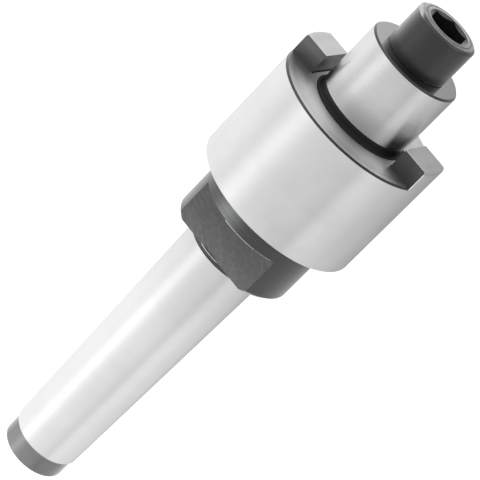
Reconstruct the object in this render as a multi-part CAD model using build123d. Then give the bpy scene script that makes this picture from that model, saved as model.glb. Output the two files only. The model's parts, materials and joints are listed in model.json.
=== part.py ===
from build123d import *
import math
import os

# A face mill arbor: a Morse taper shank, a spanner collar, a ground body with two drive lugs,
# a pilot that centres the cutter, and the socket head cap screw that holds the cutter on.
# All sizes are in millimetres. Z is the spindle axis and points to the cutter. The origin is on
# that axis, in the taper's gauge plane. X runs through both drive lugs, and Y is square to the
# spanner flats.

# Morse taper shank, number 3
gauge_diameter = 23.825
taper_on_diameter = 0.05020
gauge_to_taper_end = 74.8
gauge_to_tail_end = 81.0
taper_end_chamfer = 0.4
tail_diameter = 19.0
tail_edge_radius = 0.6

# Drawbar hole in the tail, tapped M12
drawbar_tap_diameter = 10.2
drawbar_hole_depth = 34.0
drawbar_centre_diameter = 14.0
drawbar_centre_angle = 60.0
drill_point_angle = 118.0

# Spanner collar, left black, and the short neck behind it
gauge_to_collar = 5.0
neck_diameter = 24.3
neck_length = 1.2
collar_diameter = 36.0
collar_length = 19.0
collar_rear_chamfer = 1.3
flats_across = 23.7
flats_length = 12.6

# Ground body
body_diameter = 48.0
body_length = 32.0
body_rear_chamfer = 0.4
body_front_chamfer = 0.5

# Drive lugs, solid with the body
lug_width = 12.0
lug_height = 6.0
lug_inner_distance = 31.2
lug_edge_radius = 0.8

# Pilot, with a relief groove where it meets the cutter seat
pilot_diameter = 27.0
pilot_length = 21.0
pilot_chamfer = 0.5
relief_length = 2.5
relief_depth = 0.3
relief_ramp_angle = 15.0
relief_corner_radius = 0.6
seat_relief_diameter = 28.8
seat_relief_depth = 0.3

# Retaining screw, M12, at its thread's outer diameter
screw_diameter = 12.0
screw_length = 30.0
screw_end_chamfer = 1.0
head_diameter = 18.0
head_height = 12.0
head_edge_chamfer = 0.8
underhead_radius = 0.6
socket_across_flats = 10.0
socket_depth = 6.0
socket_mouth_chamfer = 0.3
socket_point_angle = 120.0
socket_corner_turn = 45.0

# Screw hole in the pilot
thread_clearance = 0.05
screw_hole_extra_depth = 6.0
screw_hole_mouth_chamfer = 0.8

# Heights along the axis, worked out from the sizes above
tail_end_z = -gauge_to_tail_end
taper_end_z = -gauge_to_taper_end
collar_rear_z = gauge_to_collar
neck_rear_z = collar_rear_z - neck_length
body_rear_z = collar_rear_z + collar_length
seat_z = body_rear_z + body_length
pilot_front_z = seat_z + pilot_length
head_top_z = pilot_front_z + head_height


def taper_radius(z):
    """Radius of the Morse taper at a height along the axis."""
    return (gauge_diameter + taper_on_diameter * z) / 2


def turned(*edges):
    """Solid turned about Z from the outline that the edges close, drawn as (radius, height) points."""
    with BuildPart() as part:
        with BuildSketch(Plane.XZ):
            with BuildLine():
                for edge in edges:
                    add(edge)
            make_face()
        revolve(axis=Axis.Z)
    return part.part


def quarter_round(start, end, centre, radius):
    """Arc of a quarter turn from start to end, about a centre that lies on the diagonal between them."""
    middle = Vector((start[0] + end[0]) / 2, (start[1] + end[1]) / 2)
    outwards = (middle - Vector(*centre)).normalized()
    return ThreePointArc(start, Vector(*centre) + outwards * radius, end)


def drilled_hole(radius, mouth_z, depth, direction):
    """Cylinder and drill point for a blind hole that enters at mouth_z and runs along +Z or -Z."""
    point = radius / math.tan(math.radians(drill_point_angle / 2))
    floor_z = mouth_z + direction * depth
    outline = Polyline(
        (0, mouth_z - direction),
        (radius, mouth_z - direction),
        (radius, floor_z),
        (0, floor_z + direction * point),
        close=True,
    )
    return turned(outline)


def shank_and_body():
    """The turned piece: tail, taper, neck, collar, body, relief groove and pilot, with no holes."""
    tail_radius = tail_diameter / 2
    shoulder_radius = taper_radius(taper_end_z) - taper_end_chamfer
    collar_radius = collar_diameter / 2
    body_radius = body_diameter / 2
    pilot_radius = pilot_diameter / 2
    relief_radius = pilot_radius - relief_depth
    relief_floor_z = seat_z - seat_relief_depth
    ramp_length = relief_depth / math.tan(math.radians(relief_ramp_angle))
    tail_round_start = (tail_radius - tail_edge_radius, tail_end_z)
    tail_round_end = (tail_radius, tail_end_z + tail_edge_radius)
    corner_start = (relief_radius + relief_corner_radius, relief_floor_z)
    corner_end = (relief_radius, relief_floor_z + relief_corner_radius)

    tail_edge = quarter_round(
        tail_round_start,
        tail_round_end,
        (tail_radius - tail_edge_radius, tail_end_z + tail_edge_radius),
        tail_edge_radius,
    )
    rear_outline = Polyline(
        tail_round_end,
        (tail_radius, taper_end_z),
        (shoulder_radius, taper_end_z),
        (taper_radius(taper_end_z + taper_end_chamfer), taper_end_z + taper_end_chamfer),
        (taper_radius(neck_rear_z), neck_rear_z),
        (neck_diameter / 2, neck_rear_z),
        (neck_diameter / 2, collar_rear_z),
        (collar_radius - collar_rear_chamfer, collar_rear_z),
        (collar_radius, collar_rear_z + collar_rear_chamfer),
        (collar_radius, body_rear_z),
        (body_radius - body_rear_chamfer, body_rear_z),
        (body_radius, body_rear_z + body_rear_chamfer),
        (body_radius, seat_z - body_front_chamfer),
        (body_radius - body_front_chamfer, seat_z),
        (seat_relief_diameter / 2, seat_z),
        corner_start,
    )
    relief_corner = quarter_round(
        corner_start,
        corner_end,
        (relief_radius + relief_corner_radius, relief_floor_z + relief_corner_radius),
        relief_corner_radius,
    )
    front_outline = Polyline(
        corner_end,
        (relief_radius, seat_z + relief_length - ramp_length),
        (pilot_radius, seat_z + relief_length),
        (pilot_radius, pilot_front_z - pilot_chamfer),
        (pilot_radius - pilot_chamfer, pilot_front_z),
        (0, pilot_front_z),
        (0, tail_end_z),
        tail_round_start,
    )
    return turned(tail_edge, rear_outline, relief_corner, front_outline)


def drive_lugs():
    """Two lugs across the seat: flat inner ends and sides, outer ends on the body's cylinder."""
    outer_radius = body_diameter / 2
    inner_end = lug_inner_distance / 2
    root_z = seat_z - body_length / 2
    top_z = seat_z + lug_height
    round_start = (outer_radius, top_z - lug_edge_radius)
    round_end = (outer_radius - lug_edge_radius, top_z)
    outer_edge = quarter_round(
        round_start,
        round_end,
        (outer_radius - lug_edge_radius, top_z - lug_edge_radius),
        lug_edge_radius,
    )
    rest_of_outline = Polyline(round_end, (0, top_z), (0, root_z), (outer_radius, root_z), round_start)
    disc = turned(outer_edge, rest_of_outline)
    bar_length = outer_radius + 1
    lugs = []
    for side in (-1, 1):
        centre_x = side * (inner_end + bar_length / 2)
        bar = Pos(centre_x, 0, (root_z + top_z) / 2) * Box(bar_length, lug_width, top_z - root_z + 1)
        lugs.append(disc & bar)
    return lugs


def spanner_flat_cutters():
    """Blocks that mill the two flats, from the collar's rear face up to its front ring."""
    depth = collar_diameter / 2
    cutters = []
    for side in (-1, 1):
        centre_y = side * (flats_across / 2 + depth / 2)
        centre_z = collar_rear_z + flats_length / 2
        cutters.append(Pos(0, centre_y, centre_z) * Box(2 * collar_diameter, depth, flats_length))
    return cutters


def drawbar_hole():
    """Tapped hole of the tail at its tapping diameter, with a 60 degree centre at the mouth."""
    tap_radius = drawbar_tap_diameter / 2
    mouth_radius = drawbar_centre_diameter / 2
    centre_depth = (mouth_radius - tap_radius) / math.tan(math.radians(drawbar_centre_angle / 2))
    cone = Polyline(
        (0, tail_end_z),
        (mouth_radius, tail_end_z),
        (tap_radius, tail_end_z + centre_depth),
        (0, tail_end_z + centre_depth),
        close=True,
    )
    return [drilled_hole(tap_radius, tail_end_z, drawbar_hole_depth, 1), turned(cone)]


def screw_hole():
    """Hole of the retaining screw in the pilot, at the screw's outline plus its clearance."""
    radius = screw_diameter / 2 + thread_clearance
    mouth_radius = radius + screw_hole_mouth_chamfer
    mouth = Polyline(
        (0, pilot_front_z),
        (mouth_radius, pilot_front_z),
        (radius, pilot_front_z - screw_hole_mouth_chamfer),
        (0, pilot_front_z - screw_hole_mouth_chamfer),
        close=True,
    )
    depth = screw_length + screw_hole_extra_depth
    return [drilled_hole(radius, pilot_front_z, depth, -1), turned(mouth)]


def arbor():
    """The whole arbor body as one solid."""
    solid = shank_and_body()
    for lug in drive_lugs():
        solid = solid + lug
    for cutter in spanner_flat_cutters() + drawbar_hole() + screw_hole():
        solid = solid - cutter
    return solid


def hex_socket():
    """Cutter for the screw's hexagon socket, with a drilled point at its floor and an edge break."""
    across_corners = socket_across_flats / math.cos(math.radians(30))
    floor_z = head_top_z - socket_depth
    point_depth = socket_across_flats / 2 / math.tan(math.radians(socket_point_angle / 2))
    with BuildPart() as prism:
        with BuildSketch(Plane.XY.offset(floor_z)):
            RegularPolygon(across_corners / 2, 6, rotation=socket_corner_turn)
        extrude(amount=socket_depth)
    point = Polyline(
        (0, floor_z - point_depth),
        (socket_across_flats / 2, floor_z),
        (0, floor_z),
        close=True,
    )
    mouth_radius = across_corners / 2 + socket_mouth_chamfer
    mouth = Polyline(
        (0, head_top_z),
        (mouth_radius, head_top_z),
        (0, head_top_z - mouth_radius * math.tan(math.radians(30))),
        close=True,
    )
    return [prism.part, turned(point), turned(mouth)]


def retaining_screw():
    """Socket head cap screw, fully in, with its head on the pilot's end face."""
    shank_radius = screw_diameter / 2
    head_radius = head_diameter / 2
    end_z = pilot_front_z - screw_length
    neck_start = (shank_radius, pilot_front_z - underhead_radius)
    neck_end = (shank_radius + underhead_radius, pilot_front_z)
    fillet_arc = quarter_round(
        neck_start,
        neck_end,
        (shank_radius + underhead_radius, pilot_front_z - underhead_radius),
        underhead_radius,
    )
    outline = Polyline(
        neck_end,
        (head_radius, pilot_front_z),
        (head_radius, head_top_z - head_edge_chamfer),
        (head_radius - head_edge_chamfer, head_top_z),
        (0, head_top_z),
        (0, end_z),
        (shank_radius - screw_end_chamfer, end_z),
        (shank_radius, end_z + screw_end_chamfer),
        neck_start,
    )
    solid = turned(fillet_arc, outline)
    for cutter in hex_socket():
        solid = solid - cutter
    return solid


def save(name, solid):
    """Writes one named piece as parts/NAME.step."""
    solid.label = name
    export_step(solid, os.path.join("parts", name + ".step"))


os.makedirs("parts", exist_ok=True)
save("arbor", arbor())
save("retaining_screw", retaining_screw())
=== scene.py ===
import json
import math

import bpy
from mathutils import Matrix, Vector


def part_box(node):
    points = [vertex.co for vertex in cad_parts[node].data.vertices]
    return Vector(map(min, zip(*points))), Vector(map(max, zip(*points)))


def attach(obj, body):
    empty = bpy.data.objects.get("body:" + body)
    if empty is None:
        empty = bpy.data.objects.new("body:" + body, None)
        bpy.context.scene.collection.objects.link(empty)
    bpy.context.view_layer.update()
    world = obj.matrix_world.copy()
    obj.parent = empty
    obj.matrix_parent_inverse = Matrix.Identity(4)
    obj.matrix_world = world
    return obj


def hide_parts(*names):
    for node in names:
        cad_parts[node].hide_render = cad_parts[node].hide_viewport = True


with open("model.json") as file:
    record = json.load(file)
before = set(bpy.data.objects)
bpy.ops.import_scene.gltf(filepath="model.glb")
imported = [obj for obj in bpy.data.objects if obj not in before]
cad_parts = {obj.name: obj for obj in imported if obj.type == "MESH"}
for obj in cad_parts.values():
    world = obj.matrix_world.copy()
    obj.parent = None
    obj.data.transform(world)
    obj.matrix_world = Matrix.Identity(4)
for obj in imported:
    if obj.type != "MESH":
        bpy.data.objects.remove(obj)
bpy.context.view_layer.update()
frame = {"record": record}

# Face mill arbor with a taper shank. Z is the spindle axis and points to the cutter, the origin
# lies in the taper's gauge plane, and X runs through the two drive lugs.

MM = 0.001
AXIS = (0, 0, 1)
ORIGIN = (0, 0, 0)
MOUNTS = {mount["name"]: mount for mount in frame["record"]["mounts"]}


def mount_height(name):
    """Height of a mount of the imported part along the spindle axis."""
    return MOUNTS[name]["pos_m"][2]


# Sizes that the frame gives
TAIL_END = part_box("arbor")[0].z
BODY_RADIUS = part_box("arbor")[1].x
SEAT = mount_height("cutter_seat")
LUG_TOP = mount_height("drive_lugs")
HEAD_TOP = mount_height("hex_socket")
PILOT_RADIUS = MOUNTS["pilot"]["dims"]["r_mm"] * MM
PILOT_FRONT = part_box("arbor")[1].z
FLAT_DISTANCE = MOUNTS["spanner_flat_back"]["pos_m"][1]
TAP_RADIUS = MOUNTS["drawbar_thread"]["dims"]["r_mm"] * MM
SCREW_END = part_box("retaining_screw")[0].z
HEAD_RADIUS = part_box("retaining_screw")[1].x

# Shank
GAUGE_RADIUS = 11.9125 * MM
TAPER_ON_RADIUS = 0.0251
TAPER_END = -74.8 * MM
TAPER_CHAMFER = 0.4 * MM
TAIL_RADIUS = 9.5 * MM
TAIL_EDGE_RADIUS = 0.6 * MM
DRAWBAR_HOLE_DEPTH = 34 * MM
DRAWBAR_THREAD_DEPTH = 28 * MM
DRAWBAR_CENTRE_RADIUS = 7 * MM
DRAWBAR_CENTRE_ANGLE = math.radians(30)

# Collar
NECK_RADIUS = 12.15 * MM
NECK_REAR = 3.8 * MM
COLLAR_RADIUS = 18 * MM
COLLAR_REAR = 5 * MM
COLLAR_CHAMFER = 1.3 * MM
FLATS_FRONT = 17.6 * MM

# Body and cutter seat
BODY_REAR = 24 * MM
BODY_REAR_CHAMFER = 0.25 * MM
RIM_CHAMFER = 0.5 * MM
SEAT_RELIEF_RADIUS = 14.4 * MM

# Drive lugs, with their worn edges and a dark strip on the seat at the foot of each lug's inner end
LUG_HALF_WIDTH = 6 * MM
LUG_INNER_END = 15.6 * MM
LUG_EDGE_RADIUS = 1.0 * MM
LUG_OUTER_WEAR = 0.1 * MM
LUG_TOP_WEAR = 0.045 * MM
STRIP_WIDTH = 0.3 * MM
STRIP_TONE = 0.04

# Pilot, its relief groove and the screw's hole
RELIEF_DEPTH = 0.3 * MM
RELIEF_LENGTH = 2.5 * MM
RELIEF_RAMP = 1.12 * MM
RELIEF_CORNER_RADIUS = 0.6 * MM
PILOT_CHAMFER = 0.5 * MM
SCREW_HOLE_DEPTH = 36 * MM
SCREW_HOLE_MOUTH_RADIUS = 6.85 * MM
SCREW_HOLE_MOUTH_ANGLE = math.radians(45)

# Retaining screw
HEAD_BACK = PILOT_FRONT
HEAD_CHAMFER = 0.8 * MM
HEAD_FOOT_RADIUS = 0.3 * MM
HEAD_DROP = 0.2 * MM
HEAD_LINE_RADIUS = 7.1 * MM
HEAD_LINE_DEPTH = 0.14 * MM
UNDERHEAD_RADIUS = 0.6 * MM
SCREW_NECK_RADIUS = 5.45 * MM
SCREW_NECK_LENGTH = 2 * MM
SCREW_END_CHAMFER = 1 * MM

# Hexagon socket
SOCKET_HALF_WIDTH = 5 * MM
SOCKET_CORNER_RADIUS = SOCKET_HALF_WIDTH / math.cos(math.radians(30))
SOCKET_DEPTH = 6 * MM
SOCKET_MOUTH = 0.3 * MM
SOCKET_CONE_SLOPE = math.tan(math.radians(30))
SOCKET_TURN = math.radians(15)

# M12 thread, right-handed
PITCH = 1.75 * MM
MALE_CREST_RADIUS = 5.97 * MM
MALE_ROOT_RADIUS = 4.95 * MM
FEMALE_ROOT_RADIUS = 6.04 * MM
FEMALE_CUTTER_CORE = 5.02 * MM
CREST_FLAT = PITCH / 8
FLANK_ANGLE = math.radians(30)
THREAD_STEPS = 48

# Burrs on two turned edges: name, radius and height of the bead's path, its angles in degrees, bead radius
BURR_RADIUS = 0.12 * MM
FINE_BURR_RADIUS = 0.07 * MM
BURRS = [
    ("ring_burr", COLLAR_RADIUS, FLATS_FRONT - BURR_RADIUS / 2, (-95, -62), BURR_RADIUS),
    ("ring_burr_end", COLLAR_RADIUS, FLATS_FRONT - FINE_BURR_RADIUS / 2, (-60.5, -45), FINE_BURR_RADIUS),
    ("neck_burr", NECK_RADIUS + BURR_RADIUS / 2, COLLAR_REAR, (-108, -76), BURR_RADIUS),
]
BEAD_SIDES = 8
BEAD_STEPS = 32

# Modelling
ROUND_STEPS = 180
ARC_STEPS = 4
EDGE_BREAK = 0.08 * MM
WELD = 0.0005 * MM
CUT_TOLERANCE = WELD / 10
HAIR = 0.01 * MM
CLEAR = 2 * MM
DRILL_POINT = math.radians(59)
SMOOTH_ANGLE = math.radians(30)
FACE_WEIGHT = 80


# Modelling with operators

def leave_edit_mode():
    """Back to object mode with nothing selected."""
    if bpy.context.mode != "OBJECT":
        bpy.ops.object.mode_set(mode="OBJECT")
    bpy.ops.object.select_all(action="DESELECT")


def pick(piece):
    """Selects one piece alone, in object mode, and makes it the active one."""
    leave_edit_mode()
    piece.select_set(True)
    bpy.context.view_layer.objects.active = piece


def edit(piece):
    """Edit mode on one piece, with all of it selected."""
    pick(piece)
    bpy.ops.object.mode_set(mode="EDIT")
    bpy.ops.mesh.select_mode(type="VERT")
    bpy.ops.mesh.select_all(action="SELECT")


def named(name):
    """The object that an operator has just made, under its own name."""
    piece = bpy.context.active_object
    piece.name = name
    piece.data.name = name
    return piece


def place_in_mesh(piece):
    """Puts a piece's place and turn into its mesh, so that the object sits at the origin."""
    pick(piece)
    bpy.ops.object.transform_apply(location=True, rotation=True, scale=True)


def weld(piece):
    """Merges the doubles of a closed skin and turns its normals outwards."""
    edit(piece)
    bpy.ops.mesh.remove_doubles(threshold=WELD)
    bpy.ops.mesh.normals_make_consistent(inside=False)
    leave_edit_mode()


def smooth(piece):
    """Smooth shading that keeps the edges, with normals weighted towards the large faces."""
    pick(piece)
    bpy.ops.object.shade_smooth_by_angle(angle=SMOOTH_ANGLE)
    weighted = piece.modifiers.new("weighted", "WEIGHTED_NORMAL")
    weighted.keep_sharp = True
    weighted.weight = FACE_WEIGHT
    bpy.ops.object.modifier_apply(modifier=weighted.name)


def draw_line(name, points):
    """A line of (radius, height) points in the XZ plane, drawn by extruding one vertex."""
    leave_edit_mode()
    first = Vector((points[0][0], 0, points[0][1]))
    bpy.ops.mesh.primitive_plane_add(size=MM, location=first)
    line = named(name)
    place_in_mesh(line)
    edit(line)
    bpy.ops.mesh.merge(type="CENTER")
    for here, there in zip(points, points[1:]):
        step = (there[0] - here[0], 0, there[1] - here[1])
        bpy.ops.mesh.extrude_region_move(TRANSFORM_OT_translate={"value": step})
    leave_edit_mode()
    return line


def turned(name, points):
    """A solid turned about the spindle axis from a line that starts and ends on it."""
    solid = draw_line(name, points)
    edit(solid)
    bpy.ops.mesh.spin(steps=ROUND_STEPS, angle=2 * math.pi, center=ORIGIN, axis=AXIS)
    weld(solid)
    return solid


def rounded(corners):
    """An outline from (radius, height, edge radius) corners, with an arc in place of each rounded one."""
    points = [corners[0][:2]]
    for before, corner, after in zip(corners, corners[1:], corners[2:]):
        middle = Vector(corner[:2])
        if len(corner) == 2:
            points.append(tuple(middle))
            continue
        radius = corner[2]
        back = (Vector(before[:2]) - middle).normalized()
        on = (Vector(after[:2]) - middle).normalized()
        half = back.angle(on) / 2
        centre = middle + (back + on).normalized() * radius / math.sin(half)
        start = middle + back * radius / math.tan(half) - centre
        end = middle + on * radius / math.tan(half) - centre
        for step in range(ARC_STEPS + 1):
            arm = start.slerp(end, step / ARC_STEPS).normalized() * radius
            points.append(tuple(centre + arm))
    points.append(corners[-1][:2])
    return points


def combine(piece, tool, operation):
    """Boolean of two closed pieces. The tool is used up."""
    leave_edit_mode()
    bpy.context.view_layer.objects.active = piece
    step = piece.modifiers.new("combine", "BOOLEAN")
    step.operation = operation
    step.solver = "EXACT"
    step.object = tool
    bpy.ops.object.modifier_apply(modifier=step.name)
    bpy.data.objects.remove(tool)


def block(name, low, high):
    """A box between two corners, used to mill or trim."""
    leave_edit_mode()
    low, high = Vector(low), Vector(high)
    bpy.ops.mesh.primitive_cube_add(size=1, location=(low + high) / 2, scale=high - low)
    piece = named(name)
    place_in_mesh(piece)
    return piece


def cut_off(piece, point, facing, cleared):
    """Cuts a closed piece at a plane, closes the cut and clears what lies "ahead" of it or "behind" it."""
    edit(piece)
    bpy.ops.mesh.bisect(
        plane_co=point,
        plane_no=facing,
        use_fill=True,
        clear_inner=cleared == "behind",
        clear_outer=cleared == "ahead",
        threshold=CUT_TOLERANCE,
    )
    leave_edit_mode()


def blunt(piece, corner, facing, depth):
    """Takes a worn edge off a closed piece: a flat cut below a corner, square to the way that it faces."""
    cut_off(piece, Vector(corner) - facing.normalized() * depth, facing, "ahead")


def threaded_rod(name, crest_radius, root_radius, low, high):
    """A rod with a 60 degree thread. All rods have their crests in phase, so that they mesh."""
    flank = (crest_radius - root_radius) * math.tan(FLANK_ANGLE)
    crest = CREST_FLAT / 2
    first_turn = PILOT_FRONT + PITCH * (math.floor((low - PILOT_FRONT) / PITCH) - 1)
    profile = [
        (root_radius, first_turn - PITCH / 2),
        (root_radius, first_turn - crest - flank),
        (crest_radius, first_turn - crest),
        (crest_radius, first_turn + crest),
        (root_radius, first_turn + crest + flank),
        (root_radius, first_turn + PITCH / 2),
    ]
    rod = draw_line(name, profile)
    bpy.context.view_layer.objects.active = rod
    turns = rod.modifiers.new("turns", "SCREW")
    turns.axis = "Z"
    turns.angle = 2 * math.pi
    turns.screw_offset = PITCH
    turns.iterations = math.ceil((high - first_turn) / PITCH) + 1
    turns.steps = THREAD_STEPS
    turns.render_steps = THREAD_STEPS
    bpy.ops.object.modifier_apply(modifier=turns.name)
    weld(rod)
    cut_off(rod, (0, 0, low), AXIS, "behind")
    cut_off(rod, (0, 0, high), AXIS, "ahead")
    weld(rod)
    return rod


def radius_of(point):
    """Distance from the spindle axis."""
    return math.hypot(point.x, point.y)


# The arbor

def taper_radius(height):
    """Radius of the taper shank at a height."""
    return GAUGE_RADIUS + TAPER_ON_RADIUS * height


def turned_blank():
    """Tail, taper, neck, collar, body, seat and pilot, as the lathe and the grinder leave them."""
    relief_floor = SEAT - RELIEF_DEPTH
    relief_radius = PILOT_RADIUS - RELIEF_DEPTH
    shoulder = taper_radius(TAPER_END) - TAPER_CHAMFER
    chamfer_end = TAPER_END + TAPER_CHAMFER
    return turned("arbor_body", rounded([
        (0, TAIL_END),
        (TAIL_RADIUS, TAIL_END, TAIL_EDGE_RADIUS),
        (TAIL_RADIUS, TAPER_END),
        (shoulder, TAPER_END),
        (taper_radius(chamfer_end), chamfer_end),
        (taper_radius(NECK_REAR), NECK_REAR),
        (NECK_RADIUS, NECK_REAR),
        (NECK_RADIUS, COLLAR_REAR),
        (COLLAR_RADIUS - COLLAR_CHAMFER, COLLAR_REAR, EDGE_BREAK),
        (COLLAR_RADIUS, COLLAR_REAR + COLLAR_CHAMFER, EDGE_BREAK),
        (COLLAR_RADIUS, BODY_REAR),
        (BODY_RADIUS - BODY_REAR_CHAMFER, BODY_REAR, EDGE_BREAK),
        (BODY_RADIUS, BODY_REAR + BODY_REAR_CHAMFER, EDGE_BREAK),
        (BODY_RADIUS, SEAT - RIM_CHAMFER),
        (BODY_RADIUS - RIM_CHAMFER, SEAT),
        (SEAT_RELIEF_RADIUS, SEAT),
        (relief_radius, relief_floor, RELIEF_CORNER_RADIUS),
        (relief_radius, SEAT + RELIEF_LENGTH - RELIEF_RAMP),
        (PILOT_RADIUS, SEAT + RELIEF_LENGTH),
        (PILOT_RADIUS, PILOT_FRONT - PILOT_CHAMFER, EDGE_BREAK),
        (PILOT_RADIUS - PILOT_CHAMFER, PILOT_FRONT, EDGE_BREAK),
        (0, PILOT_FRONT),
    ]))


def drive_lug(side):
    """One lug: a slice of a disc on the body's own cylinder, rounded along its outer top edge."""
    lug = turned("lug_disc", rounded([
        (0, SEAT - RIM_CHAMFER),
        (BODY_RADIUS, SEAT - RIM_CHAMFER),
        (BODY_RADIUS, LUG_TOP, LUG_EDGE_RADIUS),
        (0, LUG_TOP),
    ]))
    ends = sorted([side * LUG_INNER_END, side * (BODY_RADIUS + CLEAR)])
    lug_slice = block(
        "lug_slice",
        (ends[0], -LUG_HALF_WIDTH, SEAT - RIM_CHAMFER - CLEAR),
        (ends[1], LUG_HALF_WIDTH, LUG_TOP + CLEAR),
    )
    combine(lug, lug_slice, "INTERSECT")
    turn = math.asin(LUG_HALF_WIDTH / BODY_RADIUS)
    for way in (-1, 1):
        outwards = Vector((side * math.cos(turn), way * math.sin(turn), 0))
        sideways = Vector((0, way, 0))
        blunt(lug, outwards * BODY_RADIUS, outwards + sideways, LUG_OUTER_WEAR)
        blunt(lug, (0, way * LUG_HALF_WIDTH, LUG_TOP), sideways + Vector(AXIS), LUG_TOP_WEAR)
    return lug


def mill_flats(arbor):
    """Mills the two spanner flats, from the collar's rear face up to its ring."""
    for side in (-1, 1):
        ends = sorted([side * FLAT_DISTANCE, side * (COLLAR_RADIUS + CLEAR)])
        cutter = block(
            "flat_cutter",
            (-COLLAR_RADIUS - CLEAR, ends[0], COLLAR_REAR - HAIR),
            (COLLAR_RADIUS + CLEAR, ends[1], FLATS_FRONT),
        )
        combine(arbor, cutter, "DIFFERENCE")


def drill_and_tap(arbor, mouth, direction, mouth_radius, mouth_angle, depth, thread_depth):
    """Drills a blind hole on the axis from one end face, opens its mouth and taps it M12."""
    point = TAP_RADIUS / math.tan(DRILL_POINT)
    slope = math.tan(mouth_angle)
    outside = mouth - direction * CLEAR
    drill = turned("drill", [
        (0, outside),
        (mouth_radius + CLEAR * slope, outside),
        (TAP_RADIUS, mouth + direction * (mouth_radius - TAP_RADIUS) / slope),
        (TAP_RADIUS, mouth + direction * depth),
        (0, mouth + direction * (depth + point)),
    ])
    combine(arbor, drill, "DIFFERENCE")
    thread_ends = sorted([outside, mouth + direction * thread_depth])
    tap = threaded_rod("tap", FEMALE_ROOT_RADIUS, FEMALE_CUTTER_CORE, *thread_ends)
    combine(arbor, tap, "DIFFERENCE")


def make_arbor():
    """The whole arbor as one closed piece."""
    arbor = turned_blank()
    for side in (-1, 1):
        combine(arbor, drive_lug(side), "UNION")
    mill_flats(arbor)
    drill_and_tap(
        arbor,
        mouth=TAIL_END,
        direction=1,
        mouth_radius=DRAWBAR_CENTRE_RADIUS,
        mouth_angle=DRAWBAR_CENTRE_ANGLE,
        depth=DRAWBAR_HOLE_DEPTH,
        thread_depth=DRAWBAR_THREAD_DEPTH,
    )
    drill_and_tap(
        arbor,
        mouth=PILOT_FRONT,
        direction=-1,
        mouth_radius=SCREW_HOLE_MOUTH_RADIUS,
        mouth_angle=SCREW_HOLE_MOUTH_ANGLE,
        depth=SCREW_HOLE_DEPTH,
        thread_depth=SCREW_HOLE_DEPTH - 2 * PITCH,
    )
    weld(arbor)
    smooth(arbor)
    return arbor


def burr(name, radius, height, angles, bead_radius):
    """A burr along a turned edge: a fine bead swept about the axis from one angle to another, in degrees."""
    start, end = (math.radians(angle) for angle in angles)
    leave_edit_mode()
    bpy.ops.mesh.primitive_circle_add(
        vertices=BEAD_SIDES,
        radius=bead_radius,
        fill_type="NGON",
        location=(radius * math.cos(start), radius * math.sin(start), height),
        rotation=(math.pi / 2, 0, start),
    )
    bead = named(name)
    place_in_mesh(bead)
    edit(bead)
    bpy.ops.mesh.spin(steps=BEAD_STEPS, angle=start - end, center=ORIGIN, axis=AXIS)
    weld(bead)
    smooth(bead)
    return bead


# The retaining screw

def screw_thread(neck_end):
    """The screw's rolled thread, chamfered at its end and run out under its neck."""
    thread = threaded_rod("thread", MALE_CREST_RADIUS, MALE_ROOT_RADIUS, SCREW_END, neck_end)
    envelope = turned("thread_envelope", [
        (0, SCREW_END),
        (MALE_CREST_RADIUS - SCREW_END_CHAMFER, SCREW_END),
        (MALE_CREST_RADIUS + CLEAR, SCREW_END + SCREW_END_CHAMFER + CLEAR),
        (MALE_CREST_RADIUS + CLEAR, neck_end - PITCH),
        (SCREW_NECK_RADIUS - PITCH / 2, neck_end + EDGE_BREAK),
        (0, neck_end + EDGE_BREAK),
    ])
    combine(thread, envelope, "INTERSECT")
    return thread


def cut_socket(screw):
    """Cuts the hexagon socket: broached sides, a drilled point and an opened mouth."""
    floor = HEAD_TOP - SOCKET_DEPTH
    leave_edit_mode()
    bpy.ops.mesh.primitive_cylinder_add(
        vertices=6,
        radius=SOCKET_CORNER_RADIUS,
        depth=SOCKET_DEPTH + CLEAR,
        location=(0, 0, floor + (SOCKET_DEPTH + CLEAR) / 2),
        rotation=(0, 0, SOCKET_TURN),
    )
    broach = named("broach")
    place_in_mesh(broach)
    combine(screw, broach, "DIFFERENCE")
    drill = turned("socket_drill", [
        (0, floor - SOCKET_HALF_WIDTH * SOCKET_CONE_SLOPE),
        (SOCKET_HALF_WIDTH, floor),
        (SOCKET_HALF_WIDTH - EDGE_BREAK, floor + EDGE_BREAK),
        (0, floor + EDGE_BREAK),
    ])
    combine(screw, drill, "DIFFERENCE")
    mouth_radius = SOCKET_CORNER_RADIUS + SOCKET_MOUTH
    mouth = turned("socket_mouth", [
        (0, HEAD_TOP - mouth_radius * SOCKET_CONE_SLOPE),
        (mouth_radius + EDGE_BREAK / SOCKET_CONE_SLOPE, HEAD_TOP + EDGE_BREAK),
        (0, HEAD_TOP + EDGE_BREAK),
    ])
    combine(screw, mouth, "DIFFERENCE")


def make_screw():
    """Socket head cap screw with a rolled thread, fully in."""
    neck_end = HEAD_BACK - SCREW_NECK_LENGTH
    screw = turned("retaining_screw_body", rounded([
        (0, neck_end - PITCH),
        (SCREW_NECK_RADIUS - PITCH / 2, neck_end - PITCH),
        (SCREW_NECK_RADIUS, neck_end),
        (SCREW_NECK_RADIUS, HEAD_BACK, UNDERHEAD_RADIUS),
        (HEAD_RADIUS, HEAD_BACK, HEAD_FOOT_RADIUS),
        (HEAD_RADIUS, HEAD_TOP - HEAD_CHAMFER, 2 * EDGE_BREAK),
        (HEAD_RADIUS - HEAD_CHAMFER, HEAD_TOP - HEAD_DROP, 2 * EDGE_BREAK),
        (HEAD_LINE_RADIUS + HEAD_LINE_DEPTH, HEAD_TOP),
        (HEAD_LINE_RADIUS, HEAD_TOP - HEAD_LINE_DEPTH),
        (HEAD_LINE_RADIUS - HEAD_LINE_DEPTH, HEAD_TOP),
        (0, HEAD_TOP),
    ]))
    combine(screw, screw_thread(neck_end), "UNION")
    cut_socket(screw)
    weld(screw)
    smooth(screw)
    return screw


# Nodes

NOISE_ROUGHNESS = 0.55
NOISE_LOW = 0.3
NOISE_HIGH = 0.7


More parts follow.
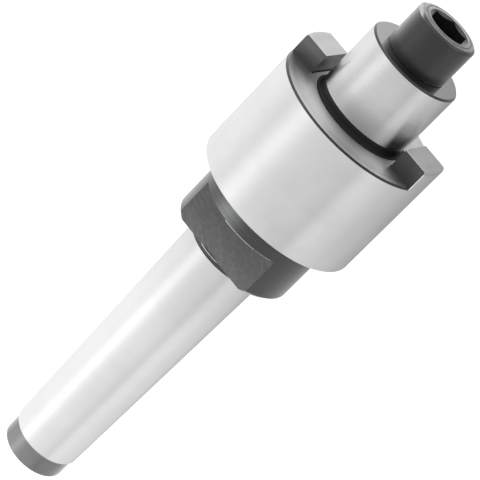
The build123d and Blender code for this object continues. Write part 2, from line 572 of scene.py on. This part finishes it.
def add_node(tree, kind, settings=None, links=None):
    """Adds a node, sets its properties and inputs, and links inputs to sockets."""
    node = tree.nodes.new(kind)
    for name, value in (settings or {}).items():
        if name in node.inputs.keys():
            node.inputs[name].default_value = value
        else:
            setattr(node, name, value)
    for name, source in (links or {}).items():
        tree.links.new(source, node.inputs[name])
    return node


def supply(tree, socket, value):
    """Gives an input a plain number, or links it to an output."""
    if isinstance(value, (int, float)):
        socket.default_value = value
    else:
        tree.links.new(value, socket)


def math_node(tree, operation, *values):
    """A Math node on sockets or plain numbers. Returns its output."""
    node = add_node(tree, "ShaderNodeMath", {"operation": operation})
    for socket, value in zip(node.inputs, values):
        supply(tree, socket, value)
    return node.outputs[0]


def blended(tree, share, low, high):
    """A plain number or socket that goes from low to high as share goes from 0 to 1."""
    node = add_node(tree, "ShaderNodeMix", None, {"Factor": share})
    supply(tree, node.inputs["A"], low)
    supply(tree, node.inputs["B"], high)
    return node.outputs["Result"]


def smooth_step(tree, value, low, high):
    """A value's smooth rise from 0 at low to 1 at high."""
    node = add_node(tree, "ShaderNodeMapRange",
                    {"interpolation_type": "SMOOTHSTEP", "From Min": low, "From Max": high},
                    {"Value": value})
    return node.outputs["Result"]


def axes_of(tree, vector):
    """The three parts of a vector, as outputs X, Y and Z."""
    return add_node(tree, "ShaderNodeSeparateXYZ", None, {"Vector": vector}).outputs


def noise(tree, vector, scale, detail):
    """A noise value at a vector."""
    node = add_node(tree, "ShaderNodeTexNoise",
                    {"Scale": scale, "Detail": detail, "Roughness": NOISE_ROUGHNESS},
                    {"Vector": vector})
    return node.outputs["Fac"]


def spread_about_one(tree, value, share):
    """Maps a noise value, mostly between its usual low and high, to one plus or minus a share."""
    ranges = {"From Min": NOISE_LOW, "From Max": NOISE_HIGH, "To Min": 1 - share, "To Max": 1 + share}
    return add_node(tree, "ShaderNodeMapRange", ranges, {"Value": value}).outputs["Result"]


def scaled(tree, point, size):
    """A point divided by a size, so that a noise of scale 1 has features of that size."""
    node = add_node(tree, "ShaderNodeVectorMath", {"operation": "SCALE"},
                    {"Vector": point, "Scale": math_node(tree, "DIVIDE", 1.0, size)})
    return node.outputs["Vector"]


# Shader node groups that the finishes share

BAND_SCALE = 0.15
FEED_WANDER = 3.0
FEED_SWING = 0.2
FEED_MIDDLE = 0.5


def new_group(name, inputs, outputs):
    """An empty shader node group with named sockets, each a float unless it is called Point."""
    group = bpy.data.node_groups.new(name, "ShaderNodeTree")
    for socket in inputs:
        kind = "NodeSocketVector" if socket == "Point" else "NodeSocketFloat"
        group.interface.new_socket(socket, in_out="INPUT", socket_type=kind)
    for socket in outputs:
        group.interface.new_socket(socket, in_out="OUTPUT", socket_type="NodeSocketFloat")
    return group, group.nodes.new("NodeGroupInput").outputs, group.nodes.new("NodeGroupOutput").inputs


def tool_marks_group():
    """Lines that a tool or a wheel leaves: they vary quickly across and slowly along.

    Feed mixes in the even wave of a steady feed. Lines is the height, Bands a slower change.
    """
    group, given, made = new_group(
        "tool_marks", ["Across", "Point", "Spacing", "Length", "Feed"], ["Lines", "Bands"],
    )
    across = math_node(group, "DIVIDE", given["Across"], given["Spacing"])
    along = axes_of(group, scaled(group, given["Point"], given["Length"]))
    place = add_node(group, "ShaderNodeCombineXYZ", None, {
        "X": across,
        "Y": math_node(group, "ADD", along["X"], along["Z"]),
        "Z": along["Y"],
    }).outputs["Vector"]
    random_lines = noise(group, place, scale=1.0, detail=3.0)
    bands = noise(group, place, scale=BAND_SCALE, detail=2.0)
    wander = math_node(group, "MULTIPLY_ADD", bands, FEED_WANDER, across)
    wave = math_node(group, "SINE", math_node(group, "MULTIPLY", wander, 2 * math.pi))
    even_lines = math_node(group, "MULTIPLY_ADD", wave, FEED_SWING, FEED_MIDDLE)
    group.links.new(blended(group, given["Feed"], random_lines, even_lines), made["Lines"])
    group.links.new(bands, made["Bands"])
    return group


def handling_group():
    """Soft clouds of oil and handling."""
    group, given, made = new_group("handling", ["Point", "Size"], ["Clouds"])
    place = scaled(group, given["Point"], given["Size"])
    group.links.new(noise(group, place, scale=1.0, detail=4.0), made["Clouds"])
    return group


TOOL_MARKS = tool_marks_group()
HANDLING = handling_group()


# Steel finishes

BARE = {"Metallic": 1.0}
OXIDE = {"Metallic": 0.0, "IOR": 1.45, "Coat Weight": 1.0, "Coat IOR": 1.45, "Coat Roughness": 0.3,
         "Sheen Weight": 0.4, "Sheen Roughness": 0.35}
LUG_OXIDE = {"Metallic": 0.0, "IOR": 1.45, "Coat Weight": 0.8, "Coat IOR": 1.5, "Coat Roughness": 0.3}
MATT_OXIDE = {"Metallic": 0.0, "IOR": 1.4}
STAINED = {"Metallic": 1.0, "Coat Weight": 1.0, "Coat IOR": 1.4, "Coat Roughness": 0.22}
WORN = {"Metallic": 0.35, "IOR": 1.45}
GREENISH = (0.98, 1.02, 1)
BLUISH = (0.94, 1, 1.06)
QUARTER_TURN = 0.25

# Angles round the axis towards which a face is painted brighter, as painted light from that side
FAR_LEFT = math.radians(120)
LEFT = math.radians(-165)

# Angles round the axis at which a highlight is painted on the black or stained pieces, and how narrow the
# painted highlight is
TAIL_PAINTED_HIGHLIGHT_ANGLE = math.radians(-108)
RING_PAINTED_HIGHLIGHT_ANGLE = math.radians(-100)
HEAD_PAINTED_HIGHLIGHT_ANGLE = math.radians(-146)
PAINTED_HIGHLIGHT_SHARPNESS = 36.0

# The mill's marks on the spanner flats are arcs about this point
MILL_CENTRE = (-20 * MM, 0, -15 * MM)


def distance_across(tree, point, way):
    """How far a point lies across the tool marks, in metres: along the axis, or from a centre in a plane."""
    if way == "height":
        return axes_of(tree, point)["Z"]
    plane, centre = ((1, 1, 0), ORIGIN) if way == "radius" else ((1, 0, 1), MILL_CENTRE)
    in_plane = add_node(tree, "ShaderNodeVectorMath", {"operation": "MULTIPLY"}, {"Vector": point})
    in_plane.inputs[1].default_value = plane
    away = add_node(tree, "ShaderNodeVectorMath", {"operation": "DISTANCE"},
                    {"Vector": in_plane.outputs["Vector"]})
    away.inputs[1].default_value = centre
    return away.outputs["Value"]


def towards(tree, point, angle, radius):
    """How far a point lies towards an angle round the axis, as a share of a radius."""
    node = add_node(tree, "ShaderNodeVectorMath", {"operation": "DOT_PRODUCT"}, {"Vector": point})
    node.inputs[1].default_value = (math.cos(angle) / radius, math.sin(angle) / radius, 0)
    return node.outputs["Value"]


def painted_highlight_factor(tree, point, angle, radius, gain):
    """A painted highlight: a factor of one that rises to a gain where a turned surface faces an angle round
    the axis.
    """
    facing = towards(tree, point, angle, radius)
    within = math_node(tree, "MINIMUM", math_node(tree, "MAXIMUM", facing, 0.0), 1.0)
    patch = math_node(tree, "POWER", within, PAINTED_HIGHLIGHT_SHARPNESS)
    return math_node(tree, "MULTIPLY_ADD", patch, gain - 1, 1.0)


def painted_side_light_factor(tree, point, angle, radius, share):
    """Painted light from one side: a factor that is one on the axis and a share higher at a radius towards
    an angle.
    """
    return math_node(tree, "MULTIPLY_ADD", towards(tree, point, angle, radius), share, 1.0)


def painted_shading_factor(tree, point, low, high, gain):
    """Painted shading: a factor that goes from one to a gain between two heights along the axis."""
    height = axes_of(tree, point)["Z"]
    return math_node(tree, "MULTIPLY_ADD", smooth_step(tree, height, low, high), gain - 1, 1.0)


def black_strip(tree, point, width, tone):
    """A factor that drops to a tone on the black strip at the foot of each lug's inner end."""
    place = axes_of(tree, point)
    outwards = math_node(tree, "ABSOLUTE", place["X"])
    sideways = math_node(tree, "ABSOLUTE", place["Y"])
    strip_edge = LUG_INNER_END - width
    by_lug = math_node(
        tree, "MULTIPLY",
        smooth_step(tree, outwards, strip_edge - HAIR, strip_edge + HAIR),
        smooth_step(tree, sideways, LUG_HALF_WIDTH + HAIR, LUG_HALF_WIDTH - HAIR),
    )
    return math_node(tree, "MULTIPLY_ADD", by_lug, tone - 1, 1.0)


def steel(name, brightness, roughness, spacing, depth, marks="height", feed=0.0, length=60 * MM, lines=0.0,
          clouds=0.02, cloud_size=14 * MM, rough_share=0.12, tint=(1, 1, 1), settings=BARE, brushed=0.0,
          rubbed=None, fade=None, lean=None, strip=None, coat_fade=None):
    """A steel finish whose brightness, roughness and bump follow its tool marks and its handling, and whose
    brightness also carries painted light and shade.

    Marks says which way lies across the tool marks. Lines and clouds are the shares by which the marks and
    the handling change the tone. The painted highlight, the painted shading along the axis, the painted
    light from one side and the strip hold the values of the factors above.
    """
    material = bpy.data.materials.new(name)
    material.use_nodes = True
    tree = material.node_tree
    shader = tree.nodes["Principled BSDF"]
    for socket, value in settings.items():
        shader.inputs[socket].default_value = value
    point = add_node(tree, "ShaderNodeTexCoord").outputs["Object"]
    tool = add_node(tree, "ShaderNodeGroup",
                    {"node_tree": TOOL_MARKS, "Spacing": spacing, "Length": length, "Feed": feed},
                    {"Across": distance_across(tree, point, marks), "Point": point}).outputs
    hand = add_node(tree, "ShaderNodeGroup", {"node_tree": HANDLING, "Size": cloud_size},
                    {"Point": point}).outputs

    tone = math_node(
        tree, "MULTIPLY",
        spread_about_one(tree, hand["Clouds"], clouds),
        spread_about_one(tree, tool["Lines"], lines),
    )
    tone = math_node(tree, "MULTIPLY", tone, spread_about_one(tree, tool["Bands"], clouds / 2))
    # Painted highlight, painted shading, painted light from one side, and the dark strip by the lugs
    for factor, values in (
        (painted_highlight_factor, rubbed), (painted_shading_factor, fade), (painted_side_light_factor, lean), (black_strip, strip),
    ):
        if values:
            tone = math_node(tree, "MULTIPLY", tone, factor(tree, point, *values))
    colour = add_node(tree, "ShaderNodeCombineColor")
    for socket, share in zip(colour.inputs, tint):
        tree.links.new(math_node(tree, "MULTIPLY", tone, share * brightness), socket)
    tree.links.new(colour.outputs["Color"], shader.inputs["Base Color"])

    rough = math_node(
        tree, "MULTIPLY",
        spread_about_one(tree, hand["Clouds"], -rough_share),
        spread_about_one(tree, tool["Bands"], rough_share),
    )
    tree.links.new(math_node(tree, "MULTIPLY", rough, roughness), shader.inputs["Roughness"])
    relief = add_node(tree, "ShaderNodeBump", {"Strength": 1.0, "Distance": depth},
                      {"Height": tool["Lines"]})
    tree.links.new(relief.outputs["Normal"], shader.inputs["Normal"])
    # Painted shadow: the coat weight fades between two heights, which darkens the head at its foot
    if coat_fade:
        tree.links.new(painted_shading_factor(tree, point, *coat_fade), shader.inputs["Coat Weight"])
    if brushed:
        shader.inputs["Anisotropic"].default_value = brushed
        shader.inputs["Anisotropic Rotation"].default_value = QUARTER_TURN
        round_axis = add_node(tree, "ShaderNodeTangent", {"direction_type": "RADIAL", "axis": "Z"})
        tree.links.new(round_axis.outputs["Tangent"], shader.inputs["Tangent"])
    return material


ARBOR_FINISHES = {
    # Ground taper, painted darker towards the collar as painted shade from the black collar's reflection,
    # and a little brighter towards one side as painted light
    "ground_taper": {
        "brightness": 0.955, "roughness": 0.37, "spacing": 0.5 * MM, "depth": 0, "clouds": 0.008,
        "rough_share": 0.03, "brushed": 0.85, "fade": (-30 * MM, 8 * MM, 0.87), "lean": (0, 12 * MM, 0.04),
    },
    "ground_body": {
        "brightness": 0.815, "roughness": 0.30, "spacing": 0.5 * MM, "depth": 0.0001 * MM, "clouds": 0.025,
        "brushed": 0.85,
    },
    # Ground pilot, painted darker towards the seat as painted shade and brighter towards its front
    "ground_pilot": {
        "brightness": 0.67, "roughness": 0.28, "spacing": 0.5 * MM, "depth": 0.0001 * MM, "clouds": 0.025,
        "brushed": 0.9, "fade": (58 * MM, 71 * MM, 1.14),
    },
    # Faced pilot end, painted brighter towards one side as painted light
    "faced_pilot": {
        "brightness": 0.66, "roughness": 0.11, "marks": "radius", "spacing": 0.5 * MM, "depth": 0.0002 * MM,
        "lean": (LEFT, 12 * MM, 0.22),
    },
    # Faced seat, painted a little brighter towards one side as painted light
    "faced_seat": {
        "brightness": 0.87, "roughness": 0.42, "marks": "radius", "spacing": 0.5 * MM, "depth": 0.001 * MM,
        "feed": 0.4, "lines": 0.04, "clouds": 0.04, "brushed": 0.8, "lean": (FAR_LEFT, 19 * MM, 0.04),
        "strip": (STRIP_WIDTH, STRIP_TONE),
    },
    # The two lug tops are one finish in a lit and a shaded copy: painted light on the lug at negative X,
    # painted shade on the other
    "bright_lug_top": {
        "brightness": 0.93, "roughness": 0.42, "marks": "radius", "spacing": 0.5 * MM, "depth": 0.001 * MM,
        "clouds": 0.05,
    },
    "dull_lug_top": {
        "brightness": 0.63, "roughness": 0.42, "marks": "radius", "spacing": 0.5 * MM, "depth": 0.001 * MM,
        "clouds": 0.08, "cloud_size": 6 * MM,
    },
    # The tail's stained steel, with a painted highlight on one side
    "tail_steel": {
        "brightness": 0.185, "roughness": 0.20, "spacing": 0.4 * MM, "depth": 0.0002 * MM, "clouds": 0.08,
        "settings": STAINED, "rubbed": (TAIL_PAINTED_HIGHLIGHT_ANGLE, TAIL_RADIUS, 1.2),
    },
    "worn_edge": {
        "brightness": 0.95, "roughness": 0.25, "spacing": 0.5 * MM, "depth": 0.001 * MM, "clouds": 0.1,
        "cloud_size": 5 * MM,
    },
    "turned_black": {
        "brightness": 0.018, "roughness": 0.34, "spacing": 0.55 * MM, "depth": 0.012 * MM, "feed": 0.5,
        "lines": 0.35, "clouds": 0.12, "tint": GREENISH, "settings": OXIDE,
    },
    # The ring: black oxide with deeper turned marks, and a painted highlight on one side
    "rubbed_black": {
        "brightness": 0.024, "roughness": 0.34, "spacing": 0.55 * MM, "depth": 0.02 * MM, "feed": 0.5,
        "lines": 0.6, "clouds": 0.12, "tint": GREENISH, "settings": OXIDE,
        "rubbed": (RING_PAINTED_HIGHLIGHT_ANGLE, COLLAR_RADIUS, 10.5),
    },
    # Milled flats, painted brighter towards the collar's rear face as painted light
    "milled_black": {
        "brightness": 0.074, "roughness": 0.42, "marks": "mill", "spacing": 0.19 * MM, "depth": 0.03 * MM,
        "feed": 0.3, "length": 4 * MM, "lines": 0.5, "clouds": 0.22, "cloud_size": 1.2 * MM,
        "settings": OXIDE, "fade": (13 * MM, 5 * MM, 1.6),
    },
    # The lugs' black oxide, painted darker towards the seat as painted shade and brighter towards the lug at
    # negative X as painted light
    "lug_black": {
        "brightness": 0.021, "roughness": 0.45, "spacing": 0.4 * MM, "depth": 0.006 * MM, "lines": 0.15,
        "clouds": 0.25, "settings": LUG_OXIDE, "fade": (SEAT, LUG_TOP, 3.8),
        "lean": (math.pi, 20 * MM, 0.36),
    },
    # The relief groove: its own black oxide, made matt and darker than the turned black as painted shade in
    # the recess
    "groove_black": {
        "brightness": 0.014, "roughness": 0.50, "spacing": 0.45 * MM, "depth": 0.03 * MM, "feed": 0.4,
        "lines": 0.8, "clouds": 0.15, "settings": MATT_OXIDE,
    },
    "tapped_hole": {
        "brightness": 0.25, "roughness": 0.35, "spacing": 0.4 * MM, "depth": 0.001 * MM, "clouds": 0.1,
    },
}
SCREW_FINISHES = {
    # The head's black oxide, with a painted highlight on one side and a painted shadow at its foot, where
    # the coat fades out
    "screw_black": {
        "brightness": 0.004, "roughness": 0.34, "spacing": 0.5 * MM, "depth": 0.002 * MM, "clouds": 0.12,
        "tint": BLUISH, "settings": OXIDE, "rubbed": (HEAD_PAINTED_HIGHLIGHT_ANGLE, HEAD_RADIUS, 26.0),
        "coat_fade": (HEAD_BACK + 3 * MM, HEAD_BACK, 0.1),
    },
    "rolled_black": {
        "brightness": 0.006, "roughness": 0.32, "spacing": 0.5 * MM, "depth": 0, "clouds": 0.12,
        "tint": BLUISH, "settings": OXIDE,
    },
    # The head's chamfer, with a narrow painted highlight on the same side as the head's
    "head_edge": {
        "brightness": 0.006, "roughness": 0.34, "spacing": 0.5 * MM, "depth": 0.002 * MM, "clouds": 0.12,
        "settings": OXIDE, "rubbed": (HEAD_PAINTED_HIGHLIGHT_ANGLE, HEAD_RADIUS - HEAD_CHAMFER, 90.0),
    },
    # The worn top of the head, painted brighter towards one side as painted light
    "worn_black": {
        "brightness": 0.45, "roughness": 0.40, "marks": "radius", "spacing": 0.4 * MM, "depth": 0.006 * MM,
        "feed": 0.3, "lines": 0.08, "clouds": 0.22, "cloud_size": 2 * MM, "settings": WORN,
        "lean": (FAR_LEFT, 7 * MM, 0.48),
    },
}


# Which finish each face gets

# Limits of a normal's Z for faces that look forwards, for the head's top, and for faces that look back
FACES_FRONT = 0.9
FACES_FRONT_ON_HEAD = 0.96
FACES_REAR = -0.98
# A lug's face is slanted where two parts of its normal are over SLANT. On the outer rounding, the part
# across the lug stays below ROUNDING_SLANT.
SLANT = 0.3
ROUNDING_SLANT = 0.33
RING_TOLERANCE = 0.1 * MM


def is_lug_bevel(centre, normal):
    """Whether a face of a lug is one of its narrow worn edges."""
    slanted = sum(abs(part) > SLANT for part in normal) > 1
    on_outer_rounding = radius_of(centre) > BODY_RADIUS - LUG_EDGE_RADIUS and abs(normal.y) < ROUNDING_SLANT
    return slanted and not on_outer_rounding


def lug_finish(centre, normal):
    """Finish of a face above the seat that belongs to a lug."""
    if is_lug_bevel(centre, normal):
        return "worn_edge"
    if normal.z > FACES_FRONT:
        # Lit copy of the top for the lug at negative X, shaded copy for the other: painted light and shade
        return "bright_lug_top" if centre.x < 0 else "dull_lug_top"
    return "ground_body" if radius_of(centre) > BODY_RADIUS - LUG_EDGE_RADIUS else "lug_black"


def collar_finish(centre, normal):
    """Finish of a face of the neck, the collar or the body's rear face."""
    if abs(abs(centre.y) - FLAT_DISTANCE) < WELD:
        return "milled_black"
    if normal.z > FACES_FRONT and centre.z < COLLAR_REAR:
        return "worn_edge"
    # The ring gets the black finish that has a painted highlight on one side
    on_ring = centre.z > FLATS_FRONT and abs(radius_of(centre) - COLLAR_RADIUS) < RING_TOLERANCE
    return "rubbed_black" if on_ring else "turned_black"


def front_finish(centre, normal):
    """Finish of a face of the rim, the seat, the relief groove or the pilot."""
    if radius_of(centre) > SEAT_RELIEF_RADIUS - WELD:
        return "faced_seat" if normal.z > FACES_FRONT else "turned_black"
    if centre.z < SEAT + RELIEF_LENGTH + WELD:
        return "groove_black"
    if centre.z < PILOT_FRONT - PILOT_CHAMFER + EDGE_BREAK / 2:
        return "ground_pilot"
    return "faced_pilot" if normal.z > FACES_FRONT else "turned_black"


def arbor_finish(face):
    """The name of a face's finish, by its place and the way it faces."""
    centre, normal = face.center, face.normal
    radius, height = radius_of(centre), centre.z
    if radius < SCREW_HOLE_MOUTH_RADIUS - WELD and normal.z > FACES_REAR:
        return "tapped_hole"
    if height < TAPER_END + WELD:
        return "tail_steel"
    if height < NECK_REAR + WELD:
        return "ground_taper"
    if height < BODY_REAR + WELD:
        return collar_finish(centre, normal)
    if height < SEAT - RIM_CHAMFER + WELD and radius > BODY_RADIUS - RIM_CHAMFER:
        return "ground_body"
    if height > SEAT + WELD and radius > LUG_INNER_END - EDGE_BREAK:
        return lug_finish(centre, normal)
    return front_finish(centre, normal)


def screw_finish(face):
    """The screw's finish: worn on its top with painted light towards one side, a painted highlight at one
    side of its edge, and black elsewhere, where the head's side has a painted highlight on one side and a
    painted shadow at its foot.
    """
    centre, normal = face.center, face.normal
    if centre.z < HEAD_BACK:
        return "rolled_black"
    if normal.z > FACES_FRONT_ON_HEAD and centre.z > HEAD_TOP - HEAD_DROP - WELD:
        return "worn_black"
    near_top = centre.z > HEAD_TOP - HEAD_CHAMFER - EDGE_BREAK
    on_edge = near_top and radius_of(centre) > HEAD_RADIUS - HEAD_CHAMFER
    return "head_edge" if on_edge else "screw_black"


def dress(piece, finishes, choose):
    """Makes a piece's finishes and gives each face its own."""
    order = list(finishes)
    for name in order:
        piece.data.materials.append(steel(name, **finishes[name]))
    for face in piece.data.polygons:
        face.material_index = order.index(choose(face))


# Stage

FLOOR_DROP = 120 * MM
FLOOR_SIZE = 8.0
FLOOR_GREY = 0.9
FLOOR_GLOW = 0.38
LOOK_AT = Vector((0, 0, 8.3 * MM))
CAMERA_DISTANCE = 0.622
CAMERA_AZIMUTH = math.radians(-75.40)
CAMERA_ELEVATION = math.radians(25.55)
CAMERA_ROLL = math.radians(44.52)
CAMERA_NEAR = 0.01
CAMERA_FAR = 50
SENSOR_WIDTH = 36
LENS = 180.65
LAMP_DISTANCE = 1.2
LAMP_SIZE = 1.0
LAMP_POWER = 1.2
SKY_SHARE = 0.82

# Brightness of the soft boxes round the part, by the angle round the axis from the camera, in degrees
PANORAMA = [
    (-180, 0.54), (-170, 0.83), (-150, 1.01), (-120, 1.03), (-100, 1.12), (-88, 1.11), (-78, 0.98),
    (-70, 1.07), (-60, 1.30), (-50, 1.34), (-40, 1.11), (-28, 0.96), (-15, 0.92), (0, 0.885), (20, 0.86),
    (34, 0.79), (44, 0.70), (52, 0.84), (62, 0.88), (80, 0.81), (100, 0.73), (120, 0.69), (140, 0.67),
    (160, 0.64), (172, 0.50), (180, 0.54),
]
# How much brighter the soft boxes are near the floor than at the top, by the same angle
LOW_LIFT = [
    (-180, 0.0), (-115, -0.14), (-75, 0.36), (-50, 0.42), (-15, 0.42), (15, 0.38), (60, 0.1), (100, 0.3),
    (140, 0.50), (160, 0.45), (180, 0.3),
]
# Brightness above the horizon, by the same angle
ABOVE = [
    (-180, 0.50), (-120, 0.80), (-75, 0.90), (-40, 0.60), (0, 0.31), (35, 0.20), (100, 0.30), (150, 0.42),
    (180, 0.50),
]
# Brightness high above the horizon, by the same angle
OVERHEAD = [
    (-180, 0.92), (-110, 0.85), (-60, 0.58), (-25, 0.36), (5, 0.32), (30, 0.12), (60, 0.3), (110, 0.8),
    (180, 0.92),
]
# Brightness straight up and straight down
ZENITH = 0.40
UNDERNEATH = 0.62
# Sines of the elevations over which the low lift turns from less to more, and each level takes over
LIFT_SINES = (-0.28, -0.62)
UNDERNEATH_SINES = (-0.72, -1.0)
ABOVE_SINES = (0.08, 0.34)
OVERHEAD_SINES = (0.55, 0.85)
ZENITH_SINES = (0.86, 0.98)


def unit_vector(azimuth, elevation):
    """Unit vector away from the part, from two angles in radians."""
    return Vector((
        math.cos(azimuth) * math.cos(elevation),
        math.sin(azimuth) * math.cos(elevation),
        math.sin(elevation),
    ))


def ramp_round(tree, turn, levels):
    """A level that changes with the angle round the axis, from a list of (degrees, level)."""
    ramp = add_node(tree, "ShaderNodeValToRGB", None,
                    {"Fac": math_node(tree, "MULTIPLY_ADD", turn, 0.5 / math.pi, 0.5)})
    ramp.color_ramp.interpolation = "EASE"
    stops = ramp.color_ramp.elements
    while len(stops) < len(levels):
        stops.new(1.0)
    for stop, (angle, level) in zip(stops, levels):
        stop.position = angle / 360 + 0.5
        stop.color = (level, level, level, 1)
    return ramp.outputs["Color"]


def soft_boxes(tree):
    """Brightness that polished steel mirrors: a panorama low down, softer light above."""
    way = add_node(tree, "ShaderNodeTexCoord").outputs["Generated"]
    from_camera = add_node(tree, "ShaderNodeVectorRotate",
                           {"rotation_type": "Z_AXIS", "Angle": -CAMERA_AZIMUTH}, {"Vector": way})
    parts = axes_of(tree, from_camera.outputs["Vector"])
    turn = math_node(tree, "ARCTAN2", parts["Y"], parts["X"])
    height = parts["Z"]
    lowness = math_node(tree, "MULTIPLY_ADD", smooth_step(tree, height, *LIFT_SINES), 2.0, -1.0)
    lift = math_node(tree, "MULTIPLY_ADD", ramp_round(tree, turn, LOW_LIFT), lowness, 1.0)
    level = math_node(tree, "MULTIPLY", ramp_round(tree, turn, PANORAMA), lift)
    takeovers = [
        (UNDERNEATH_SINES, UNDERNEATH),
        (ABOVE_SINES, ramp_round(tree, turn, ABOVE)),
        (OVERHEAD_SINES, ramp_round(tree, turn, OVERHEAD)),
        (ZENITH_SINES, ZENITH),
    ]
    for sines, next_level in takeovers:
        level = blended(tree, smooth_step(tree, height, *sines), level, next_level)
    return level


def studio_world():
    """White behind the part, soft boxes in its reflections, and even light on matt surfaces."""
    world = bpy.data.worlds.new("studio")
    bpy.context.scene.world = world
    world.use_nodes = True
    tree = world.node_tree
    tree.nodes.clear()
    boxes = add_node(tree, "ShaderNodeBackground", {"Color": (1, 1, 1, 1)}, {"Strength": soft_boxes(tree)})
    white = add_node(tree, "ShaderNodeBackground", {"Color": (1, 1, 1, 1), "Strength": 1.0})
    sky = add_node(tree, "ShaderNodeBackground", {"Color": (1, 1, 1, 1), "Strength": SKY_SHARE})
    path = add_node(tree, "ShaderNodeLightPath").outputs
    seen = math_node(tree, "MAXIMUM", path["Is Camera Ray"], path["Is Transmission Ray"])
    lit = add_node(tree, "ShaderNodeMixShader", None, {"Fac": path["Is Glossy Ray"]})
    tree.links.new(sky.outputs["Background"], lit.inputs[1])
    tree.links.new(boxes.outputs["Background"], lit.inputs[2])
    final = add_node(tree, "ShaderNodeMixShader", None, {"Fac": seen})
    tree.links.new(lit.outputs["Shader"], final.inputs[1])
    tree.links.new(white.outputs["Background"], final.inputs[2])
    add_node(tree, "ShaderNodeOutputWorld", None, {"Surface": final.outputs["Shader"]})


def soft_lamp(name, azimuth, elevation):
    """A square soft lamp that faces the part, from two angles in degrees."""
    light = bpy.data.lights.new(name, "AREA")
    light.size = LAMP_SIZE
    light.energy = LAMP_POWER
    lamp = bpy.data.objects.new(name, light)
    bpy.context.scene.collection.objects.link(lamp)
    away = unit_vector(math.radians(azimuth), math.radians(elevation))
    lamp.location = LOOK_AT + away * LAMP_DISTANCE
    lamp.rotation_mode = "QUATERNION"
    lamp.rotation_quaternion = away.to_track_quat("Z", "Y")


def studio_floor():
    """A plain pale floor below the part, which keeps its shadow and is clear from its underside."""
    leave_edit_mode()
    bpy.ops.mesh.primitive_plane_add(size=FLOOR_SIZE, location=(0, 0, TAIL_END - FLOOR_DROP))
    floor = named("floor")
    material = bpy.data.materials.new("floor_white")
    material.use_nodes = True
    tree = material.node_tree
    shader = tree.nodes["Principled BSDF"]
    shader.inputs["Base Color"].default_value = (FLOOR_GREY, FLOOR_GREY, FLOOR_GREY, 1)
    shader.inputs["Roughness"].default_value = 1.0
    shader.inputs["Specular IOR Level"].default_value = 0.0
    shader.inputs["Emission Color"].default_value = (1, 1, 1, 1)
    path = add_node(tree, "ShaderNodeLightPath").outputs
    glow = math_node(tree, "MULTIPLY", path["Is Camera Ray"], FLOOR_GLOW)
    tree.links.new(glow, shader.inputs["Emission Strength"])
    from_below = add_node(tree, "ShaderNodeNewGeometry").outputs["Backfacing"]
    tree.links.new(math_node(tree, "SUBTRACT", 1.0, from_below), shader.inputs["Alpha"])
    floor.data.materials.append(material)
    floor.visible_glossy = False


def photo_camera():
    """The camera at the photograph's place, lens and roll."""
    data = bpy.data.cameras.new("photo_camera")
    data.lens = LENS
    data.sensor_width = SENSOR_WIDTH
    data.clip_start = CAMERA_NEAR
    data.clip_end = CAMERA_FAR
    camera = bpy.data.objects.new("photo_camera", data)
    bpy.context.scene.collection.objects.link(camera)
    away = unit_vector(CAMERA_AZIMUTH, CAMERA_ELEVATION)
    level = (-away).to_track_quat("-Z", "Y").to_matrix().to_4x4()
    roll = Matrix.Rotation(CAMERA_ROLL, 4, "Z")
    camera.matrix_world = Matrix.Translation(LOOK_AT + away * CAMERA_DISTANCE) @ level @ roll
    bpy.context.scene.camera = camera


photo_camera()
studio_world()
studio_floor()
soft_lamp("key_lamp", azimuth=-150, elevation=60)
soft_lamp("top_lamp", azimuth=60, elevation=75)
bpy.context.scene.view_settings.view_transform = "Standard"

arbor = make_arbor()
dress(arbor, ARBOR_FINISHES, arbor_finish)
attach(arbor, "arbor")
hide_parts("arbor")

for burr_sizes in BURRS:
    bead = burr(*burr_sizes)
    bead.data.materials.append(bpy.data.materials["worn_edge"])
    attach(bead, "arbor")

screw = make_screw()
dress(screw, SCREW_FINISHES, screw_finish)
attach(screw, "retaining_screw")
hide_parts("retaining_screw")
